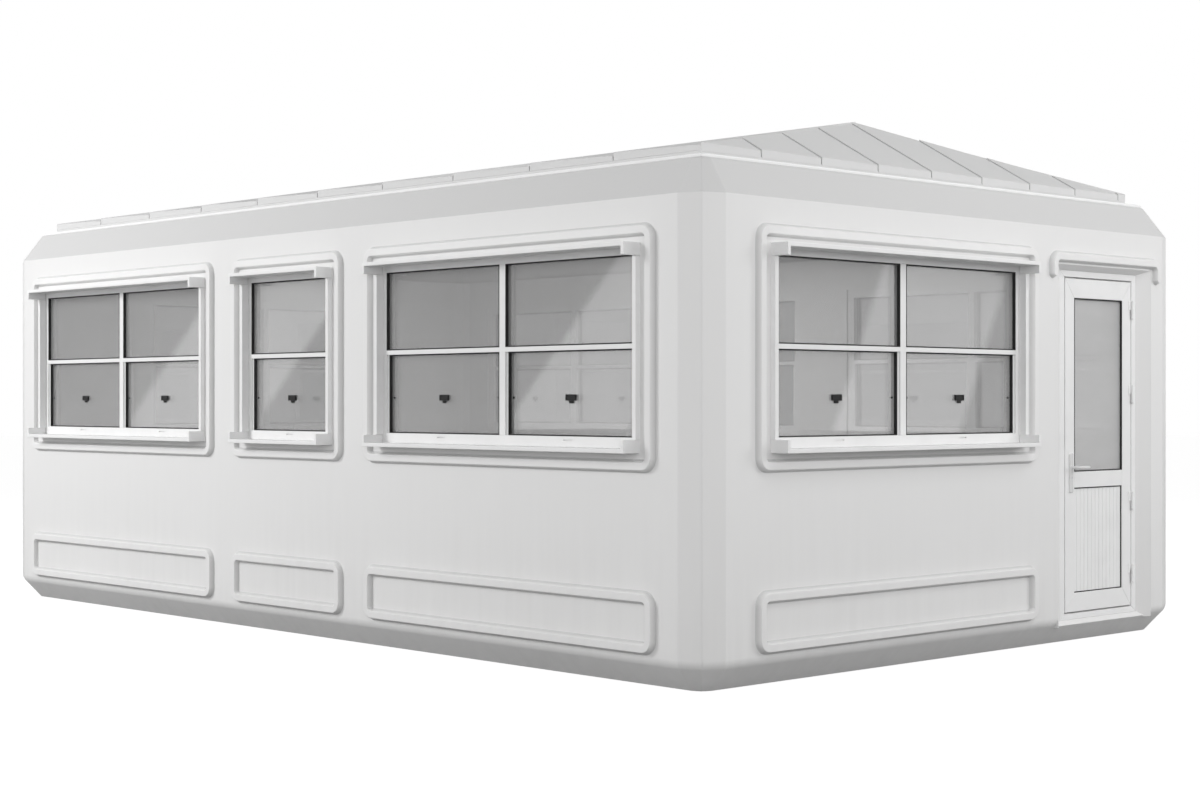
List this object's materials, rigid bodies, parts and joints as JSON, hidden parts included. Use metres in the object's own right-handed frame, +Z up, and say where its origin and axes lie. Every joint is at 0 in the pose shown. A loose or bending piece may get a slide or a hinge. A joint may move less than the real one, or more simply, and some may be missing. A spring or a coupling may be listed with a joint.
{
  "type": "kiosk cabin",
  "caption": "White moulded kiosk cabin with faceted corners, low hipped roof of lapped strips, hooded serving windows on every side and a half-glazed hinged door in one end.",
  "frame": {"origin": "centre of the underside of the base, on the ground", "axes": "+X along the length towards the door end, -Y towards the long front, +Z up"},
  "size_m": [6.764, 4.214, 2.8576],
  "materials": {
    "shell_moulding": "smooth white gel coat",
    "base_moulding": "smooth white gel coat, slightly dulled",
    "roof_moulding": "satin pale grey gel coat",
    "white_frame": "satin white extrusion",
    "tinted_glass": "lightly grey-tinted sealed glazing",
    "black_gasket": "matt black",
    "black_pull": "matt black",
    "white_hinge": "satin white coated",
    "satin_handle": "satin"
  },
  "bodies": {
    "cabin": {"floor_base": "base_moulding", "front_wall": "shell_moulding", "back_wall": "shell_moulding", "left_wall": "shell_moulding", "right_wall": "shell_moulding", "door_pier": "shell_moulding", "door_lintel": "shell_moulding", "corner_posts": "shell_moulding", "front_cornice": "shell_moulding", "back_cornice": "shell_moulding", "left_cornice": "shell_moulding", "right_cornice": "shell_moulding", "eave_lip": "roof_moulding", "front_roof": "roof_moulding", "back_roof": "roof_moulding", "left_roof": "roof_moulding", "right_roof": "roof_moulding", "front_mouldings": "shell_moulding", "back_mouldings": "shell_moulding", "left_mouldings": "shell_moulding", "right_mouldings": "shell_moulding", "front_window_frames": "white_frame", "back_window_frames": "white_frame", "left_window_frame": "white_frame", "right_window_frame": "white_frame", "front_glass": "tinted_glass", "back_glass": "tinted_glass", "left_glass": "tinted_glass", "right_glass": "tinted_glass", "window_hoods": "white_frame", "window_sills": "white_frame", "window_side_plates": "white_frame", "window_gaskets": "black_gasket", "window_latches": "black_pull", "door_hood": "shell_moulding", "door_frame": "white_frame", "frame_hinges": "white_hinge"},
    "door": {"door_leaf": "white_frame", "door_glass": "tinted_glass", "door_panel": "white_frame", "door_gasket": "black_gasket", "leaf_hinges": "white_hinge", "handle_plates": "satin_handle"},
    "lever": {"door_lever": "satin_handle"}
  },
  "joints": [
    {"name": "door_swing", "type": "hinge", "parent": "cabin", "child": "door", "pos_m": [3.24, 1.582, 1.09], "axis": [0, 0, 1], "range_deg": [0, 100]},
    {"name": "lever_turn", "type": "hinge", "parent": "door", "child": "lever", "pos_m": [3.22, 0.976, 0.968], "axis": [-1, 0, 0], "range_deg": [0, 40], "stiffness_Nm_per_rad": 1.5, "springref_deg": -34.38}
  ]
}
